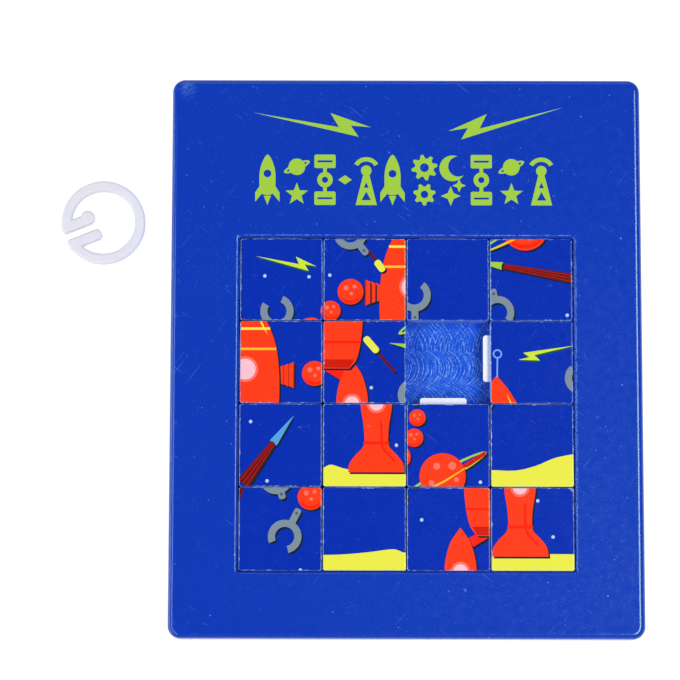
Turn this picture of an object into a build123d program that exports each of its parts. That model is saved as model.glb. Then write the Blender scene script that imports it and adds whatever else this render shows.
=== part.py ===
"""Sliding tile puzzle: a closed plastic case, fifteen tongue-and-groove tiles and a loose hang ring.

Millimetres. The puzzle lies on its back: +Z is up out of the tiles' faces and +Y runs to the wide top
margin. The origin is the middle of the case's flat back. Cells are counted in rows from the top and in
columns from the left, and the cell in row 2, column 3 is the empty one.
"""

import math
import os

from build123d import *

# The case as a whole
case_width = 75.0  # X
case_height = 89.5  # Y
case_depth = 6.0  # Z
corner_radius = 2.0
face_edge_radius = 1.0
back_edge_radius = 0.3
skin = 1.3  # thickness of the front face over the hollow margins
rim_wall = 1.6
bottom_margin = 10.5  # from the case's bottom edge to the window

# Cells and tiles
cells = 4
pitch = 13.25
tile_size = 13.1
tile_depth = 4.2
tile_corner_radius = 0.35
tile_face_radius = 0.2
tile_foot_chamfer = 0.15
empty_cell = (2, 3)

# The joint between neighbouring tiles, measured up from a tile's foot
groove_floor = 1.9
groove_height = 1.2
groove_depth = 1.3
tongue_play = 0.1  # above and below a tongue in its groove
tongue_reach = 1.1
tongue_length = 7.4
tongue_inset = 2.1  # from the tile's top left corner to the near end of each tongue
tongue_corner_radius = 0.45

# The back plate, and the frame's pins that hold it
plate_depth = 1.6
plate_play = 0.1
plate_edge_chamfer = 0.25
pin_hole_radius = 1.0
pin_play = 0.02
pin_recess = 0.15  # how far the pin ends stay inside the back plate
boss_radius = 2.0
boss_clearance = 0.6  # between a boss and the rim wall

# The window and the walls round it
window_size = cells * pitch + 0.2
window_corner_radius = 0.35
window_edge_radius = 0.5
window_wall = 1.4
rib_wall = 1.0
fixed_tongue_gap = 2.0  # how far the fixed tongues stop short of the window's far walls

# The hang ring, whose split is on its local -X side
ring_radius = 6.75
ring_width = 1.65
ring_depth = 1.9
ring_edge_radius = 0.45
ring_centre = (-48.7, 22.1)
ring_turn = 22.0  # degrees
split_top = 0.5
split_bottom = -0.55
split_corner_radius = 0.6
prong_width = 1.8
prong_tip = -0.9
prong_tip_radius = 0.7
prong_head_radius = 1.15

# Heights and places that follow from the sizes above
floor_level = plate_depth
tongue_height = groove_height - 2 * tongue_play
tongue_level = floor_level + groove_floor + tongue_play
lip_level = floor_level + groove_floor + groove_height
rim_inside = case_width / 2 - rim_wall
rim_bottom = -case_height / 2 + rim_wall
rim_top = case_height / 2 - rim_wall
window_left = -window_size / 2
window_right = window_size / 2
window_bottom = -case_height / 2 + bottom_margin
window_top = window_bottom + window_size
window_middle = (window_bottom + window_top) / 2
pocket_left = window_left - groove_depth
pocket_top = window_top + groove_depth


def span(low, high):
    """The length and the middle of a stretch."""
    return high - low, (low + high) / 2


def rib_places():
    """Middles and sizes of the thin ribs that stiffen the hollow margins."""
    top_length, top_middle = span(pocket_top + window_wall, rim_top)
    bottom_length, bottom_middle = span(rim_bottom, window_bottom - window_wall)
    left_length, left_middle = span(-rim_inside, pocket_left - window_wall)
    right_length, right_middle = span(window_right + window_wall, rim_inside)
    for step in (-2, -1, 0, 1, 2):
        along = step * pitch
        yield (along, top_middle), (rib_wall, top_length)
        if abs(step) < 2:
            yield (along, bottom_middle), (rib_wall, bottom_length)
            yield (left_middle, window_middle + along), (left_length, rib_wall)
            yield (right_middle, window_middle + along), (right_length, rib_wall)


def boss_places():
    """The eight places where the frame's pins go through the back plate."""
    side = rim_inside - boss_clearance - boss_radius
    low = rim_bottom + boss_clearance + boss_radius
    high = rim_top - boss_clearance - boss_radius
    middle = window_middle + pitch / 2
    inner = 1.5 * pitch
    places = [(x, y) for x in (-side, side) for y in (low, middle, high)]
    return places + [(-inner, high), (inner, high)]


def front_frame():
    """The front face with its window, outer rim, window walls, fixed tongues, ribs, bosses and pins."""
    with BuildPart() as frame:
        with BuildSketch():
            RectangleRounded(case_width, case_height, corner_radius)
        extrude(amount=case_depth)
        fillet(frame.faces().sort_by(Axis.Z)[-1].edges(), radius=face_edge_radius)

        # the hollow behind the front face, open at the back
        with BuildSketch():
            RectangleRounded(2 * rim_inside, rim_top - rim_bottom, corner_radius / 2)
        extrude(amount=case_depth - skin, mode=Mode.SUBTRACT)
        fillet(frame.faces().sort_by(Axis.Z)[0].outer_wire().edges(), radius=back_edge_radius)

        # the wall round the tiles
        pocket_width, pocket_x = span(pocket_left, window_right)
        pocket_height, pocket_y = span(window_bottom, pocket_top)
        with BuildSketch(Plane.XY.offset(floor_level)):
            with Locations((pocket_x, pocket_y)):
                Rectangle(pocket_width + 2 * window_wall, pocket_height + 2 * window_wall)
                Rectangle(pocket_width, pocket_height, mode=Mode.SUBTRACT)
        extrude(amount=lip_level - floor_level)

        # thin ribs and bosses in the hollow, and a pin below each boss
        with BuildSketch(Plane.XY.offset(floor_level)):
            for place, (across, up) in rib_places():
                with Locations(place):
                    Rectangle(across, up)
            with Locations(*boss_places()):
                Circle(boss_radius)
        extrude(amount=lip_level - floor_level)
        with BuildSketch(Plane.XY.offset(pin_recess)):
            with Locations(*boss_places()):
                Circle(pin_hole_radius - pin_play)
        extrude(amount=floor_level - pin_recess)

        # the window through the front face
        with BuildSketch(Plane.XY.offset(lip_level)):
            with Locations((0, window_middle)):
                RectangleRounded(window_size, window_size, window_corner_radius)
        extrude(amount=case_depth - lip_level, mode=Mode.SUBTRACT)
        fillet(frame.faces().sort_by(Axis.Z)[-1].inner_wires()[0].edges(), radius=window_edge_radius)

        # fixed tongues that run in the grooves of the right column and the bottom row
        fixed_length = window_size - fixed_tongue_gap
        with BuildSketch(Plane.XY.offset(tongue_level)):
            with Locations((window_right - tongue_reach / 2, window_bottom + fixed_length / 2)):
                Rectangle(tongue_reach, fixed_length)
            with Locations((window_right - fixed_length / 2, window_bottom + tongue_reach / 2)):
                Rectangle(fixed_length, tongue_reach)
        extrude(amount=tongue_height)
    frame.part.label = "front_frame"
    export_step(frame.part, "parts/front_frame.step")


def back_plate():
    """The flat back and floor, with a hole for each of the frame's pins."""
    across = 2 * (rim_inside - plate_play)
    up = rim_top - rim_bottom - 2 * plate_play
    with BuildPart() as plate:
        with BuildSketch():
            RectangleRounded(across, up, corner_radius / 2)
        extrude(amount=plate_depth)
        chamfer(plate.faces().sort_by(Axis.Z)[0].edges(), length=plate_edge_chamfer)
        with Locations(*[(x, y, plate_depth) for x, y in boss_places()]):
            Hole(radius=pin_hole_radius)
    plate.part.label = "back_plate"
    export_step(plate.part, "parts/back_plate.step")


def tile(row, column):
    """One tile in its cell: tongues on its left and top, grooves on its right and bottom."""
    across = (column - (cells + 1) / 2) * pitch
    up = window_middle + ((cells + 1) / 2 - row) * pitch
    foot = Plane((across, up, floor_level))
    half = tile_size / 2
    with BuildPart() as body:
        with BuildSketch(foot):
            RectangleRounded(tile_size, tile_size, tile_corner_radius)
        extrude(amount=tile_depth)
        fillet(body.faces().sort_by(Axis.Z)[-1].edges(), radius=tile_face_radius)
        chamfer(body.faces().sort_by(Axis.Z)[0].edges(), length=tile_foot_chamfer)

        with BuildSketch(foot.offset(groove_floor)):
            with Locations((half - groove_depth / 2, 0)):
                Rectangle(groove_depth, tile_size)
            with Locations((0, -half + groove_depth / 2)):
                Rectangle(tile_size, groove_depth)
        extrude(amount=groove_height, mode=Mode.SUBTRACT)

        # each tongue's root runs a little into the body, so only its outer corners are round
        root = tongue_corner_radius
        reach_middle = half + (tongue_reach - root) / 2
        along_middle = half - tongue_inset - tongue_length / 2
        with BuildSketch(foot.offset(groove_floor + tongue_play)):
            with Locations((-reach_middle, along_middle)):
                RectangleRounded(tongue_reach + root, tongue_length, tongue_corner_radius)
            with Locations((-along_middle, reach_middle)):
                RectangleRounded(tongue_length, tongue_reach + root, tongue_corner_radius)
        extrude(amount=tongue_height)
    body.part.label = f"tile_r{row}_c{column}"
    export_step(body.part, f"parts/{body.part.label}.step")


def hang_ring():
    """The split ring: two prongs turn in from the split, and the upper one has a round head."""
    turn = math.radians(ring_turn)
    flat = Plane((*ring_centre, 0), x_dir=(math.cos(turn), math.sin(turn), 0), z_dir=(0, 0, 1))
    with BuildPart() as ring:
        with BuildSketch(flat) as outline:
            Circle(ring_radius)
            Circle(ring_radius - ring_width, mode=Mode.SUBTRACT)
            split_width, split_middle = span(split_bottom, split_top)
            with Locations((-ring_radius, split_middle)):
                Rectangle(3 * ring_width, split_width, mode=Mode.SUBTRACT)
            fillet(outline.vertices().sort_by(Axis.X)[:2], radius=split_corner_radius)

            # the upper prong, whose round head stands out on its far side
            upper_root = -ring_radius + 0.6 * ring_width
            head = (prong_tip - prong_head_radius, split_top + prong_head_radius)
            shoulder = math.degrees(math.asin((prong_width - prong_head_radius) / prong_head_radius))
            with BuildLine():
                near_side = Line((upper_root, split_top), (head[0], split_top))
                round_head = CenterArc(head, prong_head_radius, -90, 270 - shoulder)
                far_side = Line(round_head @ 1, (upper_root, split_top + prong_width))
                Line(far_side @ 1, near_side @ 0)
            make_face()

            # the lower prong, straight with a rounded tip
            lower_root = -ring_radius + ring_width / 3
            lower_length, lower_middle = span(lower_root, prong_tip)
            with Locations((lower_middle, split_bottom - prong_width / 2)):
                RectangleRounded(lower_length, prong_width, prong_tip_radius)
        extrude(amount=ring_depth)
        fillet(ring.faces().filter_by(Plane.XY).edges(), radius=ring_edge_radius)
    ring.part.label = "hang_ring"
    export_step(ring.part, "parts/hang_ring.step")


def main():
    os.makedirs("parts", exist_ok=True)
    front_frame()
    back_plate()
    hang_ring()
    for row in range(1, cells + 1):
        for column in range(1, cells + 1):
            if (row, column) != empty_cell:
                tile(row, column)


main()
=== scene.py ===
import functools
import math
import random

import bmesh
import bpy
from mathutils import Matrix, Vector
from mathutils.geometry import delaunay_2d_cdt


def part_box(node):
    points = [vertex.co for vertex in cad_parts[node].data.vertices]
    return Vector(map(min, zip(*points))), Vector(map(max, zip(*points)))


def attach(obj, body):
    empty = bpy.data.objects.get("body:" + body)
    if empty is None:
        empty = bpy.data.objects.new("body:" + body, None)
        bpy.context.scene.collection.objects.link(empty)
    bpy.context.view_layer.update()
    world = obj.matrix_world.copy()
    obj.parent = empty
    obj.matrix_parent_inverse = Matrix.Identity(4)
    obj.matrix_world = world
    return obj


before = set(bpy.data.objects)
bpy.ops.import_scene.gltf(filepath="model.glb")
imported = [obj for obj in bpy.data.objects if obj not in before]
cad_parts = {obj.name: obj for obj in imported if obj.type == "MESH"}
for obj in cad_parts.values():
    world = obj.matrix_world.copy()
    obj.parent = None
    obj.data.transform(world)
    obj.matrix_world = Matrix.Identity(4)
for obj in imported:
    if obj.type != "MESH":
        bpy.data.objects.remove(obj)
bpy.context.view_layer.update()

MM = 0.001  # sizes are in millimetres unless a comment says otherwise; meshes are in metres

# ---------------------------------------------------------------- places read from the frame

case_low, case_high = (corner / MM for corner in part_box("front_frame"))
face_level = case_high.z
floor_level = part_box("back_plate")[1].z / MM
tile_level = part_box("tile_r1_c1")[1].z / MM
empty_cell = (2, 3)


def tile_name(row, column):
    return f"tile_r{row}_c{column}"


def tile_edges(row, column):
    """Right and bottom side of a tile's body, which have no tongue, in millimetres."""
    low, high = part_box(tile_name(row, column))
    return high.x / MM, low.y / MM


right_4, bottom_1 = tile_edges(1, 4)
right_3, bottom_4 = tile_edges(4, 3)
pitch = right_4 - right_3
row_pitch = (bottom_1 - bottom_4) / 3
tile_reach = (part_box("tile_r1_c4")[1].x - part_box("tile_r1_c4")[0].x) / MM
tongue_reach = 1.1
tongue_low, tongue_high = 3.56, 4.64  # the levels between which the tongues stand out
tile_corner = 0.35  # radius of the tile's upright corners
tile_round = 0.2  # radius of its top edge
tile_size = tile_reach - tongue_reach
window_middle = Vector((right_4 - tile_size / 2 - 1.5 * pitch, bottom_1 + tile_size / 2 - 1.5 * row_pitch))


def cell_middle(row, column):
    """The middle of a cell, counted from the top left."""
    return window_middle + Vector(((column - 2.5) * pitch, (2.5 - row) * pitch))


gap_middle = cell_middle(*empty_cell)


# ---------------------------------------------------------------- camera, floor and light

def add_camera():
    """Nearly straight down from a little below the middle, as a product shot on a copy stand."""
    camera = bpy.data.cameras.new("camera")
    camera.lens = 153.0
    camera.sensor_width = 36.0
    camera.clip_start = 0.01
    camera.clip_end = 10.0
    holder = bpy.data.objects.new("camera", camera)
    holder.location = Vector((-10.4, -59.0, 460.5)) * MM
    holder.rotation_euler = (math.radians(7.7), 0.0, math.radians(0.13))
    bpy.context.scene.collection.objects.link(holder)
    bpy.context.scene.camera = holder


def add_floor():
    """A white light table that reaches past every view: it glows a little, so shadows on it stay faint.

    It lies a hair below the case's flat back, so the two surfaces don't coincide, and it is clear from
    underneath, so a view from below shows the back.
    """
    mesh = bpy.data.meshes.new("floor")
    reach = 3.0  # metres
    level = (case_low.z - 0.02) * MM
    corners = [(-reach, -reach), (reach, -reach), (reach, reach), (-reach, reach)]
    mesh.from_pydata([(x, y, level) for x, y in corners], [], [(0, 1, 2, 3)])
    floor = bpy.data.objects.new("floor", mesh)
    bpy.context.scene.collection.objects.link(floor)
    material, shader, tree = new_material("light_table")
    shader.inputs["Base Color"].default_value = (0.18, 0.18, 0.18, 1.0)
    shader.inputs["Roughness"].default_value = 0.9
    shader.inputs["Specular IOR Level"].default_value = 0.1
    shader.inputs["Emission Color"].default_value = (0.97, 0.98, 1.0, 1.0)
    shader.inputs["Emission Strength"].default_value = 1.0
    side = tree.nodes.new("ShaderNodeNewGeometry")
    clear = tree.nodes.new("ShaderNodeBsdfTransparent")
    either = tree.nodes.new("ShaderNodeMixShader")
    tree.links.new(side.outputs["Backfacing"], either.inputs["Fac"])
    tree.links.new(shader.outputs["BSDF"], either.inputs[1])
    tree.links.new(clear.outputs["BSDF"], either.inputs[2])
    tree.links.new(either.outputs["Shader"], tree.nodes["Material Output"].inputs["Surface"])
    material.cycles.emission_sampling = "NONE"
    mesh.materials.append(material)


def add_light(name, place, size, power):
    """A soft rectangular light, placed and sized in metres and turned to the middle of the puzzle."""
    light = bpy.data.lights.new(name, "AREA")
    light.shape = "RECTANGLE"
    light.size, light.size_y = size
    light.energy = power
    holder = bpy.data.objects.new(name, light)
    holder.location = place
    holder.rotation_euler = (-Vector(place)).to_track_quat("-Z", "Y").to_euler()
    bpy.context.scene.collection.objects.link(holder)


def add_world(strength):
    """A faint, slightly blue light from everywhere."""
    world = bpy.data.worlds.new("world")
    world.use_nodes = True
    background = world.node_tree.nodes["Background"]
    background.inputs["Color"].default_value = (0.85, 0.95, 1.0, 1.0)
    background.inputs["Strength"].default_value = strength
    bpy.context.scene.world = world


# ---------------------------------------------------------------- materials

def linear(red, green, blue):
    """A colour given as it looks on a screen, 0 to 255, as the shader's linear values."""
    def one(value):
        value /= 255.0
        return value / 12.92 if value <= 0.04045 else ((value + 0.055) / 1.055) ** 2.4
    return one(red), one(green), one(blue), 1.0


def new_material(name):
    """A material, its shader and its node tree."""
    material = bpy.data.materials.new(name)
    material.use_nodes = True
    shader = material.node_tree.nodes["Principled BSDF"]
    return material, shader, material.node_tree


class Nodes:
    """Short ways to add the shader nodes that the plastics and inks share. Lengths are in millimetres."""

    def __init__(self, tree):
        self.tree = tree
        self.place = self.add("ShaderNodeTexCoord").outputs["Object"]

    def add(self, kind, **settings):
        node = self.tree.nodes.new(kind)
        for key, value in settings.items():
            setattr(node, key, value)
        return node

    def link(self, source, target):
        self.tree.links.new(source, target)

    def fill(self, sockets, values):
        """Sets each socket to a number or a colour, or links it to a node's output."""
        for socket, value in zip(sockets, values):
            if isinstance(value, bpy.types.NodeSocket):
                self.link(value, socket)
            else:
                socket.default_value = value

    def scaled(self, scale, turn=0.0):
        """The place on the object, turned about Z, then scaled: so much per millimetre on each axis."""
        turned = self.add("ShaderNodeMapping", vector_type="POINT")
        turned.inputs["Rotation"].default_value = (0.0, 0.0, turn)
        self.link(self.place, turned.inputs["Vector"])
        mapping = self.add("ShaderNodeMapping", vector_type="POINT")
        mapping.inputs["Scale"].default_value = [value / MM for value in scale]
        self.link(turned.outputs["Vector"], mapping.inputs["Vector"])
        return mapping.outputs["Vector"]

    def axes(self):
        """The place on the object in millimetres: x, y and z."""
        parts = self.add("ShaderNodeSeparateXYZ")
        self.link(self.scaled((1.0, 1.0, 1.0)), parts.inputs["Vector"])
        return [parts.outputs[axis] for axis in "XYZ"]

    def noise(self, scale, detail=3.0, roughness=0.5, turn=0.0, place=None):
        """Soft noise from 0 to 1; scale is about how many of its lumps fit in a millimetre on each axis."""
        node = self.add("ShaderNodeTexNoise")
        node.inputs["Scale"].default_value = 1.0
        node.inputs["Detail"].default_value = detail
        node.inputs["Roughness"].default_value = roughness
        self.link(place or self.scaled(scale, turn), node.inputs["Vector"])
        return node.outputs["Fac"]

    def ramp(self, value, low, high, start=0.0, end=1.0):
        """Value from low to high, turned into start to end and held there outside."""
        node = self.add("ShaderNodeMapRange", clamp=True)
        self.fill(node.inputs, (value, low, high, start, end))
        return node.outputs["Result"]

    def math(self, operation, *values):
        """One sum on numbers or nodes' outputs."""
        node = self.add("ShaderNodeMath", operation=operation)
        self.fill(node.inputs, values)
        return node.outputs["Value"]

    def mix(self, amount, first, second):
        """One colour over another; a colour is a tuple or a node's output."""
        node = self.add("ShaderNodeMix", data_type="RGBA")
        self.fill((node.inputs["Factor"], node.inputs[6], node.inputs[7]), (amount, first, second))
        return node.outputs[2]

    def specks(self, spacing, size, share):
        """Small round specks, about one in each cell of the spacing, of which only a share is kept."""
        cells = self.add("ShaderNodeTexVoronoi", feature="F1")
        cells.inputs["Scale"].default_value = 1.0
        self.link(self.scaled([1.0 / spacing] * 3), cells.inputs["Vector"])
        near = self.ramp(cells.outputs["Distance"], size / spacing * 0.5, size / spacing, 1.0, 0.0)
        parts = self.add("ShaderNodeSeparateColor")
        self.link(cells.outputs["Color"], parts.inputs["Color"])
        return self.math("MULTIPLY", near, self.math("LESS_THAN", parts.outputs["Red"], share))

    def scratches(self, along, across, turn, threshold):
        """Hairline scratches that run one way: a long thin noise of which only the crests are kept."""
        crests = self.noise((along, across, across), 1.0, 0.5, turn)
        line = self.ramp(crests, threshold, threshold + 0.02)
        patches = self.ramp(self.noise((0.16, 0.16, 0.16), 2.0), 0.5, 0.62)
        return self.math("MULTIPLY", line, patches)

    def hairs(self, scale, share):
        """Short curly fibres: the middle line of a soft noise, kept only here and there."""
        level = self.math("ABSOLUTE", self.math("SUBTRACT", self.noise([scale] * 3, 1.0), 0.5))
        kept = self.ramp(self.noise([scale * 1.7] * 3, 1.0, turn=1.0), share, share + 0.03)
        return self.math("MULTIPLY", self.ramp(level, 0.0, 0.012 * scale, 1.0, 0.0), kept)

    def near(self, spot, inner, outer):
        """1 within one distance of a spot on the face, falling to 0 at another."""
        across, up, _ = self.axes()
        sides = (self.math("SUBTRACT", across, spot[0]), self.math("SUBTRACT", up, spot[1]))
        squares = (self.math("MULTIPLY", side, side) for side in sides)
        return self.ramp(self.math("SQRT", self.math("ADD", *squares)), inner, outer, 1.0, 0.0)

    def beyond_box(self, middle, half):
        """How far outside an upright rectangle a place lies, in x or y; negative inside it."""
        across, up, _ = self.axes()
        sides = []
        for value, centre, reach in ((across, middle[0], half[0]), (up, middle[1], half[1])):
            offset = self.math("ABSOLUTE", self.math("SUBTRACT", value, centre))
            sides.append(self.math("SUBTRACT", offset, reach))
        return self.math("MAXIMUM", *sides)

    def bump(self, height, strength, distance):
        """A faint unevenness, as a normal for the shader."""
        node = self.add("ShaderNodeBump")
        node.inputs["Strength"].default_value = strength
        node.inputs["Distance"].default_value = distance * MM
        self.link(height, node.inputs["Height"])
        return node.outputs["Normal"]


def scuffed(nodes, shader, base, dusty, roughness, wear, rubbed_and_sheen=None, film=None):
    """Glossy plastic or ink that has been handled: soft mottling, hairline scratches, dust and fibres.

    dusty is the colour of the dust and scratches, wear their strength, the next mask the places dulled by
    rubbing, such as along an edge, and the painted highlights, both drawn in the dusty colour, and film a
    mask where fine dust lies thicker.
    """
    lighter = tuple(value * 0.96 + spot * 0.065 for value, spot in zip(base, dusty))
    grain = nodes.ramp(nodes.noise((3.6, 3.6, 3.6), 3.0, 0.7), 0.5, 0.72, 0.0, wear)
    hazy = nodes.ramp(nodes.noise((0.05, 0.05, 0.05), 2.0), 0.4, 0.65, 0.35, 1.0)
    hazy = nodes.math("MULTIPLY", grain, hazy)
    if film:
        settled = nodes.math("MULTIPLY", film, nodes.ramp(grain, 0.0, 0.8, 0.3, 1.0))
        hazy = nodes.math("MAXIMUM", hazy, settled)
    colour = nodes.mix(hazy, base, lighter)
    lines = nodes.scratches(0.12, 5.0, math.radians(38.0), 0.73)
    lines = nodes.math("MAXIMUM", lines, nodes.scratches(0.1, 6.0, math.radians(-52.0), 0.735))
    hairs = nodes.math("MAXIMUM", nodes.hairs(0.35, 0.64), nodes.hairs(0.9, 0.68))
    thick = film or nodes.ramp(nodes.noise((0.07, 0.07, 0.07)), 0.42, 0.62)
    fine = nodes.math("MULTIPLY", nodes.specks(0.47, 0.085, 0.45), thick)
    dust = nodes.math("MAXIMUM", nodes.specks(3.1, 0.15, 0.25), nodes.specks(1.3, 0.1, 0.2))
    dust = nodes.math("MAXIMUM", nodes.math("MULTIPLY", dust, 0.8), nodes.math("MULTIPLY", fine, 0.4))
    marks = nodes.math("MAXIMUM", nodes.math("MULTIPLY", lines, 0.3), nodes.math("MULTIPLY", hairs, 0.35))
    marks = nodes.math("MULTIPLY", nodes.math("MAXIMUM", marks, dust), wear)
    # this mask carries painted highlights as well as rubbing
    if rubbed_and_sheen:
        marks = nodes.math("MAXIMUM", marks, rubbed_and_sheen)
    worn_and_sheen = nodes.mix(marks, colour, dusty)
    nodes.link(worn_and_sheen, shader.inputs["Base Color"])
    rough = nodes.ramp(nodes.noise((0.8, 0.8, 0.8), 5.0), 0.3, 0.7, roughness - 0.03, roughness + 0.05)
    nodes.link(nodes.math("ADD", rough, nodes.math("MULTIPLY", marks, 0.3)), shader.inputs["Roughness"])
    nodes.link(nodes.bump(nodes.noise((0.7, 0.7, 0.7), 2.0), 0.08, 0.02), shader.inputs["Normal"])
    return worn_and_sheen


BLUE = linear(3, 51, 179)
# pale blue of dust and scratches, also used for the painted highlights on the window's lip and the tiles'
# rims
BLUE_DUST_AND_SHEEN = linear(124, 178, 240)
# a brighter blue for the walls inside the window: painted light that lifts their shade
WALL_BLUE_PAINTED_LIGHT = linear(26, 92, 240)
GLOSS_TINT = (0.66, 1.0, 0.62, 1.0)  # keeps the reflections on blue from turning violet
CASE_GLOSS = 0.14  # roughness values
PLATE_GLOSS = 0.18
INK_GLOSS = 0.16


def case_plastic():
    """Glossy moulded blue, pale in places, with a film of dust that is thicker at the lower right.

    The pale places are the upper lip of the window, whose thin line is partly dulled by rubbing and partly a
    painted highlight, and the outer edge and one corner, dulled by rubbing. The walls inside the window are
    a brighter blue: painted light that lifts their shade.
    """
    material, shader, tree = new_material("case_blue_plastic")
    nodes = Nodes(tree)
    shader.inputs["IOR"].default_value = 1.59
    shader.inputs["Specular Tint"].default_value = GLOSS_TINT
    broken = nodes.ramp(nodes.noise((1.1, 1.1, 1.1), 5.0, 0.7), 0.42, 0.6)
    window = nodes.beyond_box(window_middle, (2 * pitch + 0.1, 2 * pitch + 0.1))
    # painted highlight: the pale line along the window's upper lip is partly rubbing and partly the lip's
    # highlight
    lip = nodes.math("MULTIPLY", nodes.ramp(window, 0.42, 0.52, 1.0, 0.0), nodes.ramp(window, 0.28, 0.36))
    middle, half = (case_low + case_high) / 2, (case_high - case_low) / 2
    rim = nodes.ramp(nodes.beyond_box(middle, half), -0.5, -0.1, 0.0, 0.1)
    upper = nodes.ramp(nodes.axes()[1], window_middle.y - 30.0, window_middle.y + 8.0)
    lip = nodes.math("MULTIPLY", lip, upper)
    corner = (case_low.x + 2.2, case_high.y - 1.6)
    streaks = nodes.ramp(nodes.noise((0.5, 2.4, 1.0), 4.0, 0.7, math.radians(-25.0)), 0.42, 0.7)
    patch = nodes.math("MULTIPLY", nodes.near(corner, 0.2, 2.0), streaks)
    # rubbing and painted highlight together: the lip's pale line, the outer edge and the corner patch
    rubbed_and_sheen = nodes.math("MULTIPLY", nodes.math("MAXIMUM", lip, rim), broken)
    rubbed_and_sheen = nodes.math("MULTIPLY", nodes.math("MAXIMUM", rubbed_and_sheen, patch), 0.45)
    film = nodes.ramp(nodes.near((case_high.x - 4.0, case_low.y + 12.0), 4.0, 62.0), 0.0, 1.0, 0.12, 0.95)
    worn_and_sheen = scuffed(nodes, shader, BLUE, BLUE_DUST_AND_SHEEN, CASE_GLOSS, 0.8, rubbed_and_sheen, film)
    # painted light: the walls inside the window, below the face, take the brighter blue
    below_face = nodes.math("LESS_THAN", nodes.axes()[2], face_level - 0.3)
    painted_light_wall = nodes.math("MULTIPLY", nodes.math("LESS_THAN", window, 0.1), below_face)
    nodes.link(nodes.mix(painted_light_wall, worn_and_sheen, WALL_BLUE_PAINTED_LIGHT), shader.inputs["Base Color"])
    return material


def plate_plastic():
    """The same blue; its inner face is hazy, with the pale arcs that a milling cutter left in the mould."""
    material, shader, tree = new_material("plate_blue_plastic")
    nodes = Nodes(tree)
    shader.inputs["IOR"].default_value = 1.46
    shader.inputs["Specular Tint"].default_value = GLOSS_TINT
    plain = scuffed(nodes, shader, BLUE, BLUE_DUST_AND_SHEEN, PLATE_GLOSS, 0.8)
    haze = nodes.ramp(nodes.noise((0.9, 0.9, 0.9), 6.0, 0.65), 0.3, 0.72)
    milled = nodes.mix(haze, linear(8, 66, 200), linear(34, 98, 222))
    milled = nodes.mix(cutter_arcs(nodes), milled, linear(160, 212, 255))
    inner_face = nodes.math("GREATER_THAN", nodes.axes()[2], floor_level - 0.02)
    nodes.link(nodes.mix(inner_face, plain, milled), shader.inputs["Base Color"])
    return material


def cutter_arcs(nodes):
    """Marks of a cutter: a band of half circles, then a band where quarter circles cross, over and over."""
    half_band = 2.7
    band_shift = 0.44  # how far the middle of a band lies below the middle of the empty cell
    across, up, _ = nodes.axes()
    from_band = nodes.math("SUBTRACT", up, gap_middle.y - band_shift)
    level = nodes.math("WRAP", from_band, 3 * half_band, -half_band)
    crossed = nodes.math("GREATER_THAN", level, half_band)
    plain = nodes.math("SUBTRACT", 1.0, crossed)
    crossed_level = nodes.math("SUBTRACT", level, half_band)
    lines = None
    for where, height, radius, side, spacing in (
        (plain, level, 2.95, -1, 0.66), (plain, level, 2.95, -1, 0.41),
        (crossed, crossed_level, 5.7, -1, 0.74), (crossed, crossed_level, 5.7, 1, 0.47),
    ):
        depth = nodes.math("SUBTRACT", radius**2, nodes.math("MULTIPLY", height, height))
        bulge = nodes.math("SQRT", nodes.math("MAXIMUM", depth, 0.0))
        travel = nodes.math("ADD", across, nodes.math("MULTIPLY", bulge, side))
        spot = nodes.add("ShaderNodeCombineXYZ")
        along_cut, beside_cut = nodes.math("MULTIPLY", travel, 1.6), nodes.math("MULTIPLY", height, 0.35)
        nodes.fill(spot.inputs, (along_cut, beside_cut, spacing * 9))
        strength = nodes.ramp(nodes.noise(None, 2.0, place=spot.outputs["Vector"]), 0.38, 0.66)
        sway = nodes.math("MULTIPLY", nodes.noise((0.5, 0.5, 0.5), 1.0), 5.0)
        turns = nodes.math("ADD", nodes.math("MULTIPLY", travel, 2 * math.pi / spacing), sway)
        line = nodes.math("MULTIPLY", nodes.ramp(nodes.math("SINE", turns), 0.62, 0.98), strength)
        line = nodes.math("MULTIPLY", line, where)
        lines = line if lines is None else nodes.math("MAXIMUM", lines, line)
    broken = nodes.ramp(nodes.noise((2.4, 2.4, 2.4), 4.0, 0.7), 0.4, 0.6, 0.05, 1.0)
    return nodes.math("MULTIPLY", lines, broken)


def white_plastic(name, colour, roughness):
    """Moulded white with a little light passing through it, and a trace of grime."""
    material, shader, tree = new_material(name)
    nodes = Nodes(tree)
    shader.inputs["IOR"].default_value = 1.5
    shader.inputs["Subsurface Weight"].default_value = 0.15
    shader.inputs["Subsurface Scale"].default_value = 0.4 * MM
    shader.inputs["Subsurface Radius"].default_value = (1.0, 1.0, 1.0)
    grime = nodes.ramp(nodes.noise((0.9, 0.9, 0.9), 4.0), 0.35, 0.75, 0.0, 0.3)
    shade = tuple(value * 0.86 for value in colour[:3]) + (1.0,)
    plain = nodes.mix(grime, colour, shade)
    nodes.link(plain, shader.inputs["Base Color"])
    rough = nodes.ramp(nodes.noise((1.5, 1.5, 1.5), 3.0), 0.3, 0.7, roughness - 0.06, roughness + 0.08)
    nodes.link(rough, shader.inputs["Roughness"])
    nodes.link(nodes.bump(nodes.noise((3.0, 3.0, 3.0), 2.0), 0.1, 0.02), shader.inputs["Normal"])
    return material, nodes, plain


# blue of ink on the tile sides, made bright as painted light that lifts the shade in the narrow gaps
SMEARED_INK_AND_GAP_LIGHT = linear(30, 96, 226)


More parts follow.
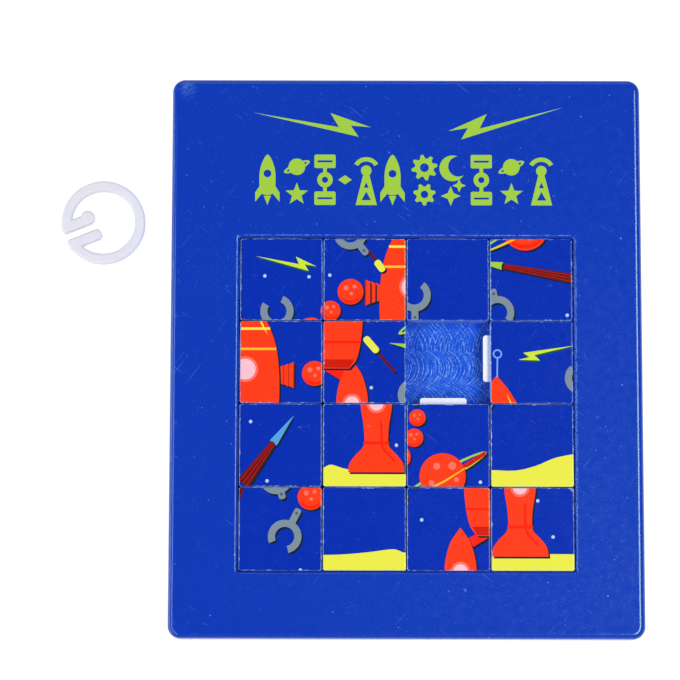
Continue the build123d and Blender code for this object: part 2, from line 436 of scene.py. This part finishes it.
def tile_plastic():
    """The white of the tiles, with blue ink run down their sides and a pale rim; the tongues stay clean.

    The ink on the sides is bright enough to be painted light in the narrow gaps, and the rim is partly wear
    and partly a painted highlight.
    """
    material, nodes, plain = white_plastic("tile_white_plastic", linear(238, 241, 250), 0.25)
    height = nodes.axes()[2]
    blend = 0.06
    above = nodes.ramp(height, tongue_low - blend, tongue_low)
    below = nodes.ramp(height, tongue_high, tongue_high + blend, 1.0, 0.0)
    tongue = nodes.math("MULTIPLY", above, below)
    patchy = nodes.ramp(nodes.noise((1.6, 1.6, 1.6), 4.0, 0.7), 0.36, 0.5, 0.97, 0.85)
    smear_and_gap_light = nodes.math("MULTIPLY", nodes.math("SUBTRACT", 1.0, tongue), patchy)
    side = nodes.ramp(height, tile_level - 0.17, tile_level - 0.11, 1.0, 0.1)
    shader = material.node_tree.nodes["Principled BSDF"]
    # pale-blue rim along the tile's rounded top edge: partly wear, partly a painted highlight
    worn_and_sheen = nodes.mix(nodes.ramp(height, tile_level - 0.22, tile_level - 0.18, 0.0, 0.75), plain, BLUE_DUST_AND_SHEEN)
    # painted light: the bright blue on the tile sides, below the top edge, lifts the shade in the gaps
    smeared_and_lit = nodes.mix(nodes.math("MULTIPLY", smear_and_gap_light, side), worn_and_sheen, SMEARED_INK_AND_GAP_LIGHT)
    nodes.link(smeared_and_lit, shader.inputs["Base Color"])
    return material


INK_DUST = (0.2, 0.36, 0.5)  # a linear colour that is added to a share of the ink's own
INKS = {  # as they look on a screen, 0 to 255
    "sky": (0, 42, 172),
    "red": (254, 58, 22),
    "bright_red": (255, 30, 6),
    "deep_red": (208, 22, 4),
    "maroon": (104, 12, 20),
    "shadow": (10, 30, 48),
    "yellow": (232, 231, 73),
    "lemon": (206, 226, 60),
    "orange": (255, 186, 40),
    "lime": (160, 202, 67),
    "green": (10, 92, 40),
    "steel": (124, 140, 154),
    "dark_steel": (80, 88, 100),
    "pale": (182, 208, 240),
    "antenna": (122, 166, 246),
    "cone": (84, 158, 218),
    "pink": (248, 192, 206),
    "rose": (255, 112, 96),
}


@functools.cache
def ink(name):
    """Ink on plastic: its colour with a fine mottle, hairline scratches, dust and a thin gloss."""
    material, shader, tree = new_material(f"ink_{name}")
    nodes = Nodes(tree)
    colour = linear(*INKS[name])
    dusty = tuple(value * 0.45 + dust for value, dust in zip(colour, INK_DUST)) + (1.0,)
    shader.inputs["IOR"].default_value = 1.45
    shader.inputs["Specular Tint"].default_value = GLOSS_TINT
    scuffed(nodes, shader, colour, dusty, INK_GLOSS, 0.4)
    return material


# ---------------------------------------------------------------- outlines, in millimetres or in cells

def circle(middle, radius, points=40):
    """A full circle, anticlockwise."""
    return moved(ellipse(radius, radius, points), middle)


def ellipse(across, up, points=48):
    """An ellipse about the origin, anticlockwise, from its two half sizes."""
    steps = (2 * math.pi * step / points for step in range(points))
    return [(across * math.cos(angle), up * math.sin(angle)) for angle in steps]


def arc(middle, radius, start, end, points=16):
    """Points on an arc from one angle to another, in degrees."""
    steps = (math.radians(start + (end - start) * step / points) for step in range(points + 1))
    return [(middle[0] + radius * math.cos(angle), middle[1] + radius * math.sin(angle)) for angle in steps]


def ring(middle, outer, inner, start, end):
    """A band between two radii, from one angle to another in degrees."""
    return arc(middle, outer, start, end, 24) + arc(middle, inner, end, start, 24)


def crescent(middle, radius, start, end, depth):
    """The part of a disc between its rim and a flatter arc, from one angle to another in degrees."""
    half = math.radians((end - start) / 2)
    base, side = radius * math.cos(half), radius * math.sin(half)
    bow = radius * (1 - depth) - base
    reach = (side**2 + bow**2) / (2 * bow)
    centre = base + bow - reach
    swing = math.degrees(math.atan2(side, base - centre))
    inner = arc((centre, 0.0), reach, swing, -swing, 12)[1:-1]
    return arc(middle, radius, start, end, 18) + moved(inner, middle, (start + end) / 2)


def rounded_box(low, high, radius, points=5):
    """An upright rectangle with round corners."""
    (left, bottom), (right, top) = low, high
    corners = (
        ((right - radius, top - radius), 0),
        ((left + radius, top - radius), 90),
        ((left + radius, bottom + radius), 180),
        ((right - radius, bottom + radius), 270),
    )
    return [p for middle, start in corners for p in arc(middle, radius, start, start + 90, points)]


def curve_point(before, start, end, after, t):
    """A point on the smooth curve from start to end, given the points before and after them."""
    return 0.5 * (
        2 * start
        + (end - before) * t
        + (2 * before - 5 * start + 4 * end - after) * t**2
        + (3 * start - before - 3 * end + after) * t**3
    )


def smooth(points, steps=6):
    """A closed curve through given points, with no corners."""
    found = []
    for i in range(len(points)):
        spots = [Vector(points[(i + k) % len(points)]) for k in (-1, 0, 1, 2)]
        found += [tuple(curve_point(*spots, step / steps)) for step in range(steps)]
    return found


def open_curve(points, steps=5):
    """A curve through given points, from the first to the last."""
    line = [Vector(p) for p in points]
    line = [line[0] * 2 - line[1]] + line + [line[-1] * 2 - line[-2]]
    found = []
    for i in range(1, len(line) - 2):
        found += [tuple(curve_point(*line[i - 1:i + 3], step / steps)) for step in range(steps)]
    return found + [tuple(line[-2])]


def moved(outline, by, turn=0.0, scale=1.0):
    """An outline turned about its own origin, in degrees, scaled and then moved."""
    along = math.cos(math.radians(turn)) * scale
    aside = math.sin(math.radians(turn)) * scale
    return [(by[0] + along * x - aside * y, by[1] + aside * x + along * y) for x, y in outline]


def stroke(points, width):
    """A bar of one width with square ends, along a line of points."""
    line = [Vector(p) for p in points]
    left, right = [], []
    for i, point in enumerate(line):
        along = (line[min(i + 1, len(line) - 1)] - line[max(i - 1, 0)]).normalized()
        across = Vector((-along.y, along.x)) * width / 2
        left.append(tuple(point + across))
        right.append(tuple(point - across))
    return right + left[::-1]


# ---------------------------------------------------------------- thin printed films

def signed_area(outline):
    """The area of an outline, above 0 where it runs anticlockwise."""
    following = outline[1:] + outline[:1]
    return sum(x0 * y1 - x1 * y0 for (x0, y0), (x1, y1) in zip(outline, following)) / 2


def cut_up(layers, edge, creases):
    """Splits the sheet inside edge into triangles, each with the ink of the topmost layer that covers it.

    Returns the points and (triangle, ink). creases are closed lines that triangles may not cross.
    """
    points, folds, faces = [], [], []
    for outline in [edge] + [shape for _, shape in layers]:
        if signed_area(outline) < 0:
            outline = outline[::-1]
        faces.append(list(range(len(points), len(points) + len(outline))))
        points += outline
    for crease in creases:
        start, count = len(points), len(crease)
        folds += [(start + i, start + (i + 1) % count) for i in range(count)]
        points += crease
    found = delaunay_2d_cdt([Vector(p) for p in points], folds, faces, 1, 1e-4)
    spots, triangles, sources = found[0], found[2], found[5]
    inks = [None] + [colour for colour, _ in layers]
    kept = []
    for triangle, source in zip(triangles, sources):
        colour = inks[max(source)] if 0 in source else None
        if colour:
            kept.append((triangle, colour))
    return spots, kept


def add_film(name, body, layers, edge, height, creases=()):
    """One closed film of ink, lying on a surface whose height at (x, y) is height(x, y), in millimetres.

    layers are (ink, outline) from the lowest to the topmost; an ink of None leaves the surface bare.
    """
    proud, sunk = 0.012, 0.02  # how far the film stands out of the surface and reaches into it
    spots, kept = cut_up(layers, edge, creases)
    inks = sorted({colour for _, colour in kept})
    shape = bmesh.new()
    levels = [height(p.x, p.y) for p in spots]
    upper = [shape.verts.new((p.x * MM, p.y * MM, (z + proud) * MM)) for p, z in zip(spots, levels)]
    lower = [shape.verts.new((p.x * MM, p.y * MM, (z - sunk) * MM)) for p, z in zip(spots, levels)]
    rim = {}
    for triangle, colour in kept:
        for corners, turned in ((upper, triangle), (lower, triangle[::-1])):
            face = shape.faces.new([corners[i] for i in turned])
            face.material_index = inks.index(colour)
        for start, end in zip(triangle, triangle[1:] + triangle[:1]):
            if (end, start) in rim:
                del rim[end, start]
            else:
                rim[start, end] = colour
    for (start, end), colour in rim.items():
        side = shape.faces.new([upper[end], upper[start], lower[start], lower[end]])
        side.material_index = inks.index(colour)
    bmesh.ops.delete(shape, geom=[v for v in shape.verts if not v.link_faces], context="VERTS")
    film = bpy.data.meshes.new(name)
    shape.to_mesh(film)
    shape.free()
    for colour in inks:
        film.materials.append(ink(colour))
    piece = bpy.data.objects.new(name, film)
    bpy.context.scene.collection.objects.link(piece)
    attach(piece, body)


# ---------------------------------------------------------------- the picture on the tiles

# The picture is 4 by 4 cells, with its origin at its bottom left, one unit to a cell. This is which home
# cell of the picture (row, column) each tile shows, by the tile's place now.
HOME = {
    (1, 1): (2, 1), (1, 2): (2, 2), (1, 3): (1, 4), (1, 4): (3, 4),
    (2, 1): (2, 3), (2, 2): (3, 3), (2, 4): (1, 3),
    (3, 1): (1, 1), (3, 2): (4, 2), (3, 3): (2, 4), (3, 4): (4, 4),
    (4, 1): (3, 1), (4, 2): (4, 1), (4, 3): (3, 2), (4, 4): (4, 3),
}


def shaded(outline, colour):
    """A shape with the dark drop shadow that every shape in the picture has."""
    return [("shadow", moved(outline, (0.02, -0.022))), (colour, outline)]


def picture():
    """The whole picture, from the back to the front: (ink, outline) in cells."""
    artists = (stars, ringed_planet, darts, bolts, hills, rocket, moons, tools)
    return [layer for artist in artists for layer in artist()]


def stars():
    """Small pale dots, free in the sky."""
    places = (
        (0.30, 2.54), (0.83, 2.53), (1.08, 2.55), (0.34, 3.07), (2.58, 1.19), (3.93, 1.07), (3.88, 2.06),
        (0.74, 1.01), (1.18, 1.61), (1.88, 0.50), (2.74, 0.41), (2.56, 0.84), (1.42, 3.62), (0.14, 3.78),
    )
    return [("pale", circle(place, 0.021, 10)) for place in places]


def ringed_planet():
    """A cratered red planet; its thin ring passes behind it and in front of it."""
    middle, tilt = (3.43, 2.13), 29.0
    halo = ellipse(0.6, 0.075)
    hole = ellipse(0.555, 0.042)
    layers = shaded(moved(halo, middle, tilt), "lime") + [("sky", moved(hole, middle, tilt))]
    shade = [(0.2, 0.0), (0.58, 0.02), (0.6, 0.0), (0.56, -0.03), (0.2, -0.06)]
    layers += [("deep_red", moved(shade, middle, tilt))]
    layers += shaded(circle(middle, 0.275), "red")
    layers += [("bright_red", crescent(middle, 0.25, 205, 345, 0.2))]
    craters = ((-0.07, 0.12, 0.042), (0.115, 0.125, 0.048), (0.165, -0.04, 0.03), (-0.13, -0.08, 0.035))
    layers += [("rose", circle((middle[0] + x, middle[1] + y), radius, 16)) for x, y, radius in craters]
    front = [
        (-0.55, -0.03), (-0.3, -0.065), (0.0, -0.075), (0.3, -0.05),
        (0.3, -0.038), (0.0, -0.052), (-0.3, -0.038),
    ]
    return layers + [("orange", moved(front, middle, tilt))]


def dart(tip, turn, nose, width, tail, nose_ink):
    """A dart that flies along its own +Y: a cone, then dark streaks that spread behind it."""
    near, far = width * 0.42, width * 0.95
    trail = [(-near, -nose), (near, -nose), (far, -tail), (-far, -tail)]
    layers = shaded(moved(trail, tip, turn), "maroon")
    for share in (-0.62, 0.0, 0.62):
        streak = [
            (near * share - 0.003, -nose), (near * share + 0.003, -nose),
            (far * share + 0.004, -tail), (far * share - 0.004, -tail),
        ]
        layers.append(("deep_red", moved(streak, tip, turn)))
    cone = [(0, 0), (width * 0.62, -nose), (0, -nose * 0.97), (-width * 0.62, -nose)]
    return layers + shaded(moved(cone, tip, turn), nose_ink)


def darts():
    """Two darts in flight, and the end of a trail at the picture's left border."""
    layers = dart((0.66, 3.86), -36.5, 0.42, 0.085, 1.02, "cone")
    layers += dart((2.79, 1.73), 80.0, 0.37, 0.075, 1.6, "lime")
    return layers + [("maroon", [(-0.1, 1.62), (0.0, 1.78), (0.08, 2.02), (-0.1, 2.02)])]


def bolt(place, turn, scale=1.0):
    """A flat zigzag: a long thin tail and a short forked head."""
    outline = [(-0.36, 0.06), (0.17, -0.02), (0.13, 0.07), (0.38, -0.04), (0.24, -0.02), (0.29, -0.1)]
    layers = [("green", moved(outline, (place[0] + 0.004, place[1] - 0.02), turn, scale))]
    return layers + [("lemon", moved(outline, place, turn, scale))]


def bolts():
    """Two zigzags in the sky."""
    return bolt((0.54, 2.71), -2.0) + bolt((2.69, 3.63), 202.0, 0.95)


def hills():
    """The yellow ground: one soft rolling line from the left to the right."""
    crest = [
        (-0.2, 0.19), (0.2, 0.195), (0.55, 0.225), (0.84, 0.26), (0.98, 0.22), (1.1, 0.265), (1.28, 0.215),
        (1.6, 0.18), (2.0, 0.18), (2.6, 0.205), (3.0, 0.205), (3.3, 0.2), (3.55, 0.26), (3.8, 0.36),
        (4.2, 0.43),
    ]
    return [("yellow", [(-0.2, -0.2), (4.2, -0.2)] + open_curve(crest)[::-1])]


def moons():
    """Small cratered red moons, each free in the sky."""
    places = (
        (0.86, 1.88, 0.155), (1.09, 2.12, 0.12), (1.33, 2.35, 0.155), (2.9, 2.36, 0.15), (3.09, 2.59, 0.11),
        (3.13, 2.83, 0.1),
    )
    layers = []
    for x, y, radius in places:
        layers += shaded(circle((x, y), radius), "red")
        layers.append(("bright_red", crescent((x, y), radius * 0.92, 195, 350, 0.25)))
        for across, up, share in ((-0.35, 0.3, 0.2), (0.3, 0.4, 0.16), (0.05, -0.15, 0.14)):
            layers.append(("rose", circle((x + across * radius, y + up * radius), radius * share, 12)))
    return layers


def spanner(place, turn, handle=0.2):
    """An open-ended spanner: its jaw opens along its own +Y, its handle runs the other way."""
    outlines = [
        moved(ring((0.0, 0.17), 0.2, 0.115, 130, 410), place, turn),
        moved(rounded_box((-0.042, -handle), (0.042, 0.02), 0.03), place, turn),
    ]
    layers = [("shadow", moved(outline, (0.02, -0.024))) for outline in outlines]
    layers += [("steel", outline) for outline in outlines]
    return layers + [("dark_steel", moved(circle((0.0, 0.06 - handle), 0.018, 12), place, turn))]


def screwdriver(start, end, handle):
    """A screwdriver: the yellow handle takes the first part of the way from start to end."""
    start, end = Vector(start), Vector(end)
    along = (end - start).normalized()
    turn = math.degrees(math.atan2(along.y, along.x)) - 90.0
    grip = rounded_box((-0.042, 0.0), (0.042, handle), 0.035, 3)
    layers = shaded(stroke([tuple(start), tuple(end)], 0.034), "maroon")
    return layers + shaded(moved(grip, tuple(start), turn), "yellow")


def tools():
    """Plain hand tools that float about the rocket."""
    layers = spanner((0.63, 1.56), 153.0)
    layers += spanner((1.43, 2.93), 38.0, 0.16)
    layers += spanner((3.1, 3.14), 2.0, 0.16)
    layers += spanner((3.06, 1.27), 192.0, 0.12)
    layers += spanner((0.5, 1.95), 18.0, 0.1)
    layers += screwdriver((1.73, 2.6), (1.55, 2.84), 0.16)
    return layers + screwdriver((2.5, 1.8), (2.86, 1.38), 0.24)


def booster(middle, side):
    """One of the two boosters that the rocket stands on: a pointed tank on a flared nozzle."""
    half = open_curve([
        (0.0, 1.52), (0.12, 1.34), (0.18, 1.12), (0.185, 0.95), (0.15, 0.72), (0.15, 0.5), (0.25, 0.38),
        (0.32, 0.28), (0.335, 0.175),
    ])
    outline = [(middle - x, y) for x, y in half] + [(middle + x, y) for x, y in half[:0:-1]]
    shine = open_curve([(0.06, 0.8), (0.07, 0.5), (0.15, 0.38), (0.22, 0.31)])
    strut = [(middle, 1.34), (middle, 1.2), (middle - side * 0.4, 1.44), (middle - side * 0.4, 1.56)]
    layers = shaded(strut, "bright_red") + shaded(outline, "red")
    layers.append(("bright_red", stroke([(middle + x, y) for x, y in shine], 0.03)))
    layers.append(("bright_red", rounded_box((middle - 0.15, 0.51), (middle + 0.15, 0.545), 0.01, 2)))
    return layers + [("rose", circle((middle, 1.0), 0.115, 28)), ("pink", circle((middle, 1.0), 0.085, 24))]


def thruster(start, side):
    """A ribbed side thruster that widens away from the hull."""
    rib, level = 0.062, 2.34
    layers = []
    for step in range(3):
        inner, outer = start + side * rib * step, start + side * rib * (step + 1)
        low, high = 0.09 + 0.02 * step, 0.12 + 0.02 * step
        outline = [(inner, level - low), (outer, level - high), (outer, level + high), (inner, level + low)]
        layers += shaded(outline, "red")
        seam = [(outer, level - high), (outer, level + high)]
        layers.append(("maroon", stroke(seam, 0.012)))
    return layers


def rocket():
    """A red rocket on two boosters: a smooth hull with a pointed nose, a porthole, bands and an antenna."""
    centre = 2.08
    half = open_curve([
        (0.24, 1.42), (0.33, 1.55), (0.38, 1.8), (0.4, 2.1), (0.395, 2.4), (0.36, 2.68), (0.28, 2.92),
        (0.16, 3.14), (0.0, 3.34),
    ])
    hull = [(centre + x, y) for x, y in half] + [(centre - x, y) for x, y in half[-2::-1]]
    layers = booster(1.64, -1) + booster(2.35, 1)
    layers += thruster(1.69, -1) + thruster(2.47, 1)
    layers += shaded(hull, "red")
    layers.append(("deep_red", [(1.84, 1.43), (2.32, 1.43), (2.38, 1.53), (1.78, 1.53)]))
    bands = ((1.74, 0.372, "bright_red"), (2.655, 0.362, "orange"), (2.9, 0.288, "yellow"))
    for level, reach, colour in bands:
        layers.append((colour, stroke([(centre - reach, level), (centre + reach, level)], 0.03)))
    porthole = (2.07, 2.41)
    layers += [("rose", circle(porthole, 0.155)), ("pink", circle(porthole, 0.125))]
    layers.append(("yellow", [(2.2, 3.12), (2.28, 2.96), (2.34, 2.82), (2.26, 2.95)]))
    layers.append(("antenna", stroke([(2.085, 3.32), (2.09, 3.55)], 0.018)))
    return layers + [("antenna", ring((2.09, 3.6), 0.056, 0.038, 0, 359))]


def worn_box(low, high, radius, wear):
    """A rounded rectangle whose edge is a little ragged, with a few chips, as printed edges wear."""
    plain = rounded_box(low, high, radius)
    middle = (Vector(low) + Vector(high)) / 2
    outline = []
    for start, end in zip(plain, plain[1:] + plain[:1]):
        start, end = Vector(start), Vector(end)
        steps = max(1, round((end - start).length / 0.35))
        for step in range(steps):
            point = start.lerp(end, step / steps)
            depth = wear.uniform(0.0, 0.03) if wear.random() > 0.2 else wear.uniform(0.04, 0.14)
            outline.append(tuple(point.lerp(middle, depth / (point - middle).length)))
    return outline


def edge_inset(point, middle):
    """How far inside the tile's outline a point lies."""
    flat = tile_size / 2 - tile_corner
    beyond = Vector((abs(point[0] - middle.x) - flat, abs(point[1] - middle.y) - flat))
    outside = Vector((max(beyond.x, 0.0), max(beyond.y, 0.0))).length
    return tile_corner - outside - min(max(beyond.x, beyond.y), 0.0)


def print_tiles():
    """Cuts the picture into cells and prints each tile, over its rounded edge, with the cell it carries."""
    left, bottom, right, top = 0.085, 0.02, 0.015, 0.04  # bare margins: the print sits a little to the right
    artwork = picture()
    wear = random.Random(7)
    for (row, column), (home_row, home_column) in HOME.items():
        middle = cell_middle(row, column)
        origin = Vector((home_column - 0.5, 4.5 - home_row))

        def height(x, y):
            inner = max(0.0, tile_round - max(0.0, edge_inset((x, y), middle)))
            return tile_level - tile_round + math.sqrt(tile_round**2 - inner**2)

        def square(inset):
            half = tile_size / 2 - inset
            corners = (middle.x - half, middle.y - half), (middle.x + half, middle.y + half)
            return rounded_box(*corners, max(0.1, tile_corner - inset))

        layers = [("sky", square(-0.5))]
        for colour, outline in artwork:
            near = [(x - origin.x, y - origin.y) for x, y in outline]
            across, up = zip(*near)
            if min(across) < 0.5 and max(across) > -0.5 and min(up) < 0.5 and max(up) > -0.5:
                layers.append((colour, [(middle.x + x * pitch, middle.y + y * pitch) for x, y in near]))
        half = tile_size / 2
        low = (middle.x - half + left, middle.y - half + bottom)
        high = (middle.x + half - right, middle.y + half - top)
        edge = worn_box(low, high, tile_corner - top, wear)
        creases = [square(tile_round), square(tile_round * 0.59), square(tile_round * 0.35)]
        name = tile_name(row, column)
        add_film(f"print_{name}", name, layers, edge, height, creases)


# ---------------------------------------------------------------- the print on the case

def case_bolt(place, flip, turn, scale=1.0):
    """A flat zigzag in millimetres: a long thin tail that rises outwards and a short forked head."""
    outline = [(-9.4, 2.0), (4.2, -0.75), (2.9, 1.6), (9.3, -0.9), (6.1, -0.55), (7.3, -2.4)]
    return [("lime", moved([(flip * x, y) for x, y in outline], place, turn, scale))]


def star(middle, radius, count=5, waist=0.42):
    """A plain star with a number of points."""
    outline = []
    for corner in range(2 * count):
        reach = radius if corner % 2 == 0 else radius * waist
        angle = math.radians(90 + 180 * corner / count)
        outline.append((middle[0] + reach * math.cos(angle), middle[1] + reach * math.sin(angle)))
    return outline


def icon_rocket():
    """A finned rocket with a porthole and a flame."""
    body = [(-0.95, -2.2), (0.95, -2.2), (1.3, 0.2), (1.0, 2.4), (0.0, 4.1), (-1.0, 2.4), (-1.3, 0.2)]
    layers = [("lime", smooth(body, 5)), (None, circle((0.0, 1.0), 0.62, 24))]
    fin = [(1.0, -0.6), (1.95, -2.1), (1.95, -3.6), (0.8, -2.2)]
    for side in (-1, 1):
        layers.append(("lime", [(side * x, y) for x, y in fin]))
    return layers + [("lime", [(-0.6, -2.6), (0.6, -2.6), (0.0, -4.1)])]


def icon_planet():
    """A ringed planet above a star."""
    planet, tilt = (0.0, 2.1), 24.0
    layers = [("lime", moved(ellipse(2.25, 0.62), planet, tilt))]
    layers.append((None, moved(ellipse(1.75, 0.3), planet, tilt)))
    return layers + [("lime", circle(planet, 1.35, 28)), ("lime", star((0.0, -2.35), 1.9))]


def icon_satellite():
    """A round satellite between two panels."""
    layers = [("lime", rounded_box((-0.3, -2.0), (0.3, 2.0), 0.1)), ("lime", circle((0.0, 0.0), 1.25, 28))]
    layers.append((None, circle((0.0, 0.0), 0.5, 20)))
    for side in (-1, 1):
        layers.append(("lime", rounded_box((-1.7, side * 3.0 - 1.1), (1.7, side * 3.0 + 1.1), 0.25)))
        layers.append((None, rounded_box((-1.2, side * 3.0 - 0.16), (1.2, side * 3.0 + 0.16), 0.1)))
    return layers


def icon_beacon():
    """A lattice mast with a lamp and a wave above it."""
    layers = [("lime", [(-1.7, -4.1), (1.7, -4.1), (0.45, 1.0), (-0.45, 1.0)])]
    layers.append((None, [(-0.75, -3.3), (0.75, -3.3), (0.0, -1.9)]))
    layers.append((None, [(-0.4, -1.3), (0.4, -1.3), (0.0, -0.4)]))
    layers.append(("lime", circle((0.0, 1.5), 0.85, 24)))
    return layers + [("lime", ring((0.0, 1.5), 2.2, 1.5, 30, 150))]


def icon_moon():
    """A crescent moon above two four-pointed stars."""
    layers = [("lime", circle((-0.1, 1.9), 2.1, 36)), (None, circle((0.85, 2.2), 1.65, 30))]
    return layers + [("lime", star((0.95, -0.9), 1.1, 4)), ("lime", star((-0.4, -2.6), 1.6, 4))]


def icon_gears():
    """A gear above a smaller one."""
    layers = []
    for middle, radius, teeth in (((0.0, 2.0), 2.1, 8), ((0.0, -2.35), 1.8, 7)):
        outline = []
        for corner in range(teeth * 4):
            reach = radius if corner % 4 in (0, 1) else radius * 0.72
            angle = 2 * math.pi * (corner + 0.5) / (teeth * 4)
            outline.append((middle[0] + reach * math.cos(angle), middle[1] + reach * math.sin(angle)))
        layers += [("lime", outline), (None, circle(middle, radius * 0.34, 20))]
    return layers


def icon_diamond():
    """A small flat diamond."""
    return [("lime", [(-1.1, 0.0), (0.0, -0.75), (1.1, 0.0), (0.0, 0.75)])]


def print_case():
    """Two zigzag bolts and a row of plain space signs in lime, on the wide top margin."""
    sign_level = 28.3
    row = (
        (icon_rocket, -22.2), (icon_planet, -17.5), (icon_satellite, -13.0), (icon_diamond, -9.8),
        (icon_beacon, -6.4), (icon_rocket, -2.2), (icon_gears, 2.9), (icon_moon, 7.5),
        (icon_satellite, 12.0), (icon_planet, 16.8), (icon_beacon, 21.6),
    )
    layers = case_bolt((-15.0, 37.5), 1, 1.7) + case_bolt((15.85, 37.65), -1, 3.1, 0.985)
    for icon, across in row:
        layers += [(colour, moved(outline, (across, sign_level))) for colour, outline in icon()]
    edge = rounded_box((-30.0, 20.0), (30.0, 43.0), 1.0)
    add_film("print_case", "case", layers, edge, lambda x, y: face_level)


# ---------------------------------------------------------------- putting it together

def dress(node, material):
    """Gives a CAD node its material in every slot."""
    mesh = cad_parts[node].data
    if not mesh.materials:
        mesh.materials.append(material)
    for index in range(len(mesh.materials)):
        mesh.materials[index] = material


def light_the_scene():
    """A light table and soft lights all round, strongest from the right: name, place, size and watts."""
    add_floor()
    add_world(0.14)
    for name, place, size, power in (
        ("key_softbox", (0.32, -0.09, 0.74), (0.7, 0.22), 4.95),
        ("left_softbox", (-0.45, -0.2, 0.62), (0.8, 0.12), 2.2),
        ("left_reflector", (-0.8, -0.2, 0.13), (0.9, 0.08), 2.2),
        ("front_fill", (-0.1, -0.8, 0.6), (0.8, 0.3), 0.25),
        ("back_fill", (-0.1, 0.8, 0.6), (0.8, 0.3), 1.0),
    ):
        add_light(name, place, size, power)


def main():
    bpy.context.scene.view_settings.view_transform = "Standard"
    add_camera()
    light_the_scene()
    dress("front_frame", case_plastic())
    dress("back_plate", plate_plastic())
    dress("hang_ring", white_plastic("ring_white_plastic", linear(224, 223, 233), 0.5)[0])
    tile_white = tile_plastic()
    for row, column in HOME:
        dress(tile_name(row, column), tile_white)
    print_tiles()
    print_case()


main()
